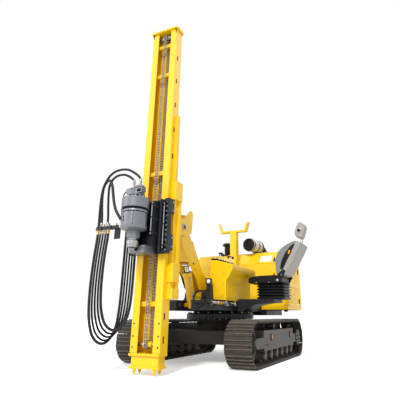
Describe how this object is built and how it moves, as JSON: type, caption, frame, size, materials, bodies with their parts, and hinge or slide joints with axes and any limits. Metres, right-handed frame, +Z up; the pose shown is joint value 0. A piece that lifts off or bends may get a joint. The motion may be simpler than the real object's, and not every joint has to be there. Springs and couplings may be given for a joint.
{
  "type": "pile driver rig",
  "caption": "Crawler-mounted pile driver and drilling rig: slewing deck with seat and engine hood, hinged boom, and a sliding mast that carries a rotary drive head.",
  "frame": {"origin": "on the ground under the middle of the machine with its free hoses left out", "axes": "+Z up, the mast stands at the -Y end, +X is the machine's left side with the seat"},
  "size_m": [2.583, 4.295, 4.87],
  "materials": {
    "paint_yellow": "glossy machine paint",
    "paint_black": "satin black paint",
    "frame_grey": "matt dark grey paint",
    "shoe_steel": "worn dark steel",
    "bright_steel": "polished",
    "head_grey": "silver grey paint",
    "hose_rubber": "matt black",
    "bellows_rubber": "matt black folds",
    "seat_black": "grained black cover",
    "seat_grey": "grey cover",
    "lever_black": "black knobs",
    "filter_shell": "pale shell with black caps",
    "lamp_black": "black body"
  },
  "bodies": {
    "undercarriage": {"carbody": "frame_grey", "ring_gear": "shoe_steel", "track_belt_left": "shoe_steel", "track_belt_right": "shoe_steel", "track_frame_left": "frame_grey", "track_frame_right": "frame_grey", "idler_left": "frame_grey", "idler_right": "frame_grey", "sprocket_left": "frame_grey", "sprocket_right": "frame_grey"},
    "upper": {"deck": "paint_black", "slew_flange": "paint_black", "console": "paint_yellow", "lever_bank": "lever_black", "engine_housing": "paint_yellow", "engine_block": "frame_grey", "fork_rest": "paint_yellow", "air_filter": "filter_shell", "precleaner": "lamp_black", "lamp_bracket": "paint_black", "work_lamp": "lamp_black", "seat_bracket": "paint_black", "seat_base": "bellows_rubber", "seat_cushion": "seat_black", "seat_back": "seat_grey", "headrest": "seat_grey", "valve_line": "bright_steel"},
    "boom": {"boom": "paint_yellow"},
    "lift_barrel": {"lift_barrel": "paint_yellow"},
    "lift_rod": {"lift_rod": "bright_steel"},
    "tilt_barrel": {"tilt_barrel": "paint_yellow"},
    "tilt_rod": {"tilt_rod": "bright_steel"},
    "cradle": {"cradle": "paint_yellow"},
    "mast": {"mast_frame": "paint_yellow", "mast_foot": "paint_yellow", "mast_top": "paint_yellow", "feed_chain": "shoe_steel", "feed_cylinder": "bright_steel", "hose_arm": "paint_yellow", "hose_loop_1_mast": "hose_rubber", "hose_loop_2_mast": "hose_rubber", "hose_loop_3_mast": "hose_rubber", "hose_loop_4_mast": "hose_rubber", "hose_loop_5_mast": "hose_rubber"},
    "carriage": {"carriage_plate": "paint_black", "head_upper": "head_grey", "head_lower": "head_grey", "guide_block": "head_grey", "hose_bar": "paint_black", "hose_loop_1_carriage": "hose_rubber", "hose_loop_2_carriage": "hose_rubber", "hose_loop_3_carriage": "hose_rubber", "hose_loop_4_carriage": "hose_rubber", "hose_loop_5_carriage": "hose_rubber", "hose_arc_1": "hose_rubber", "hose_arc_2": "hose_rubber"},
    "spindle": {"spindle": "bright_steel"},
    "hood_lid": {"hood_lid": "paint_yellow"},
    "grille_door": {"grille_door": "paint_yellow"}
  },
  "joints": [
    {"name": "slew", "type": "hinge", "parent": "undercarriage", "child": "upper", "pos_m": [-0.2535, 0.4475, 0.6], "axis": [0, 0, 1], "continuous": true},
    {"name": "boom_lift", "type": "hinge", "parent": "upper", "child": "boom", "pos_m": [-0.2535, -0.3625, 0.93], "axis": [1, 0, 0], "range_deg": [-20, 10]},
    {"name": "lift_barrel_swing", "type": "hinge", "parent": "upper", "child": "lift_barrel", "pos_m": [-0.2535, -0.5125, 0.8], "axis": [1, 0, 0], "range_deg": [-30, 20]},
    {"name": "lift_rod_slide", "type": "slide", "parent": "lift_barrel", "child": "lift_rod", "axis": [0, -0.3411, 0.94], "range_m": [-0.12, 0.15]},
    {"name": "mast_tilt", "type": "hinge", "parent": "boom", "child": "cradle", "pos_m": [-0.2535, -1.0575, 1.82], "axis": [-1, 0, 0], "range_deg": [-20, 90]},
    {"name": "tilt_barrel_swing", "type": "hinge", "parent": "boom", "child": "tilt_barrel", "pos_m": [-0.2535, -0.1525, 1.06], "axis": [-1, 0, 0], "range_deg": [-30, 30]},
    {"name": "tilt_rod_slide", "type": "slide", "parent": "tilt_barrel", "child": "tilt_rod", "axis": [0, -0.6216, 0.7834], "range_m": [-0.4, 0.2]},
    {"name": "mast_slide", "type": "slide", "parent": "cradle", "child": "mast", "axis": [0, 0, 1], "range_m": [0, 0.6]},
    {"name": "carriage_feed", "type": "slide", "parent": "mast", "child": "carriage", "axis": [0, 0, 1], "range_m": [-0.95, 2.5]},
    {"name": "spindle_spin", "type": "hinge", "parent": "carriage", "child": "spindle", "pos_m": [-0.2535, -1.9825, 1.45], "axis": [0, 0, 1], "continuous": true},
    {"name": "hood_lid_lift", "type": "hinge", "parent": "upper", "child": "hood_lid", "pos_m": [0.4185, 1.4518, 1.80222], "axis": [-1, 0, 0], "range_deg": [0, 80]},
    {"name": "grille_door_swing", "type": "hinge", "parent": "upper", "child": "grille_door", "pos_m": [0.7158, 1.9645, 1.18], "axis": [0, 0, 1], "range_deg": [0, 100]}
  ],
  "couplings": [
    {"joint": "lift_barrel_swing", "follows": "boom_lift", "ratio": 0.86},
    {"joint": "lift_rod_slide", "follows": "boom_lift", "m_per_rad": -0.1775},
    {"joint": "tilt_barrel_swing", "follows": "mast_tilt", "ratio": -0.11},
    {"joint": "tilt_rod_slide", "follows": "mast_tilt", "m_per_rad": -0.17}
  ]
}
